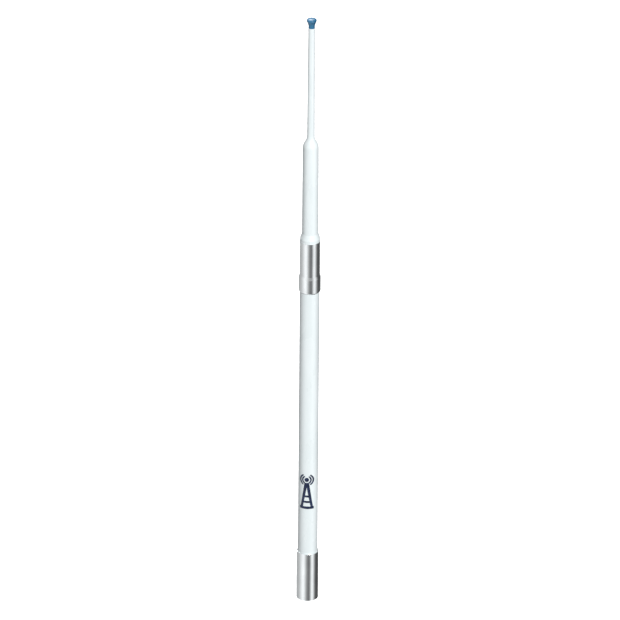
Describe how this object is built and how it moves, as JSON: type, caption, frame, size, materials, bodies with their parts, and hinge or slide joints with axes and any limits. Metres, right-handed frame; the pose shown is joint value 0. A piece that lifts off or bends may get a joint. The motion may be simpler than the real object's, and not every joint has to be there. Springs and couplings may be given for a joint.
{
  "type": "omnidirectional antenna",
  "caption": "Two-section white fibreglass omnidirectional rod antenna with plated ferrules, a blue tip cap and a screw-in base with a coaxial connector.",
  "frame": {"origin": "centre of the base ferrule's lower rim", "axes": "+Z along the antenna from the base to the tip, -Y is the side with the printed mark"},
  "size_m": [0.0303, 0.0302, 0.886],
  "materials": {
    "chrome_plate": "polished plating over brass",
    "white_fibreglass": "glossy white gelcoat",
    "blue_cap": "moulded satin blue",
    "navy_vinyl": "printed film",
    "nickel_plate": "nickel plated brass",
    "bare_brass": "drawn brass",
    "copper_wire": "bare copper",
    "white_insulator": "machined white plastic",
    "grey_foam": "closed-cell foam",
    "black_jacket": "extruded",
    "ferrite": "ground",
    "seal_rubber": "moulded"
  },
  "bodies": {
    "lower_section": {"base_ferrule": "chrome_plate", "lower_radome": "white_fibreglass", "lower_joint_ferrule": "chrome_plate", "tube_mark": "navy_vinyl", "connector_body": "nickel_plate", "connector_insulator": "white_insulator", "connector_contact": "bare_brass", "connector_gasket": "seal_rubber", "connector_nut": "nickel_plate", "connector_lock_washer": "nickel_plate", "cable_clamp": "nickel_plate", "feed_coax_core": "copper_wire", "feed_coax_dielectric": "white_insulator", "feed_coax_braid": "copper_wire", "feed_coax_jacket": "black_jacket", "choke_beads": "ferrite", "dipole_skirt": "bare_brass", "skirt_spacer_1": "grey_foam", "skirt_spacer_2": "grey_foam", "lower_radiator": "bare_brass", "lower_spacer_1": "grey_foam", "lower_spacer_2": "grey_foam", "lower_spacer_3": "grey_foam", "lower_spacer_4": "grey_foam", "joint_socket": "bare_brass", "socket_insulator": "white_insulator"},
    "seal_ring": {"joint_seal": "seal_rubber"},
    "upper_section": {"upper_ferrule": "chrome_plate", "upper_radome": "white_fibreglass", "contact_pin": "bare_brass", "pin_insulator": "white_insulator", "upper_radiator": "bare_brass", "coil_cap_lower": "bare_brass", "coil_cap_upper": "bare_brass", "phasing_coil_former": "white_insulator", "phasing_coil": "copper_wire", "top_radiator": "bare_brass", "upper_spacer_1": "grey_foam", "upper_spacer_2": "grey_foam", "whip_spacer_1": "grey_foam", "whip_spacer_2": "grey_foam", "tip_cap": "blue_cap"}
  },
  "joints": [
    {"name": "thread_lift", "type": "slide", "parent": "lower_section", "child": "seal_ring", "axis": [0, 0, 1], "range_m": [0, 0.01125]},
    {"name": "thread_turn", "type": "hinge", "parent": "seal_ring", "child": "upper_section", "pos_m": [0, 0, 0.4968], "axis": [0, 0, 1], "range_deg": [0, 2700]}
  ],
  "couplings": [
    {"joint": "thread_turn", "follows": "thread_lift", "rad_per_m": 4188.8}
  ]
}
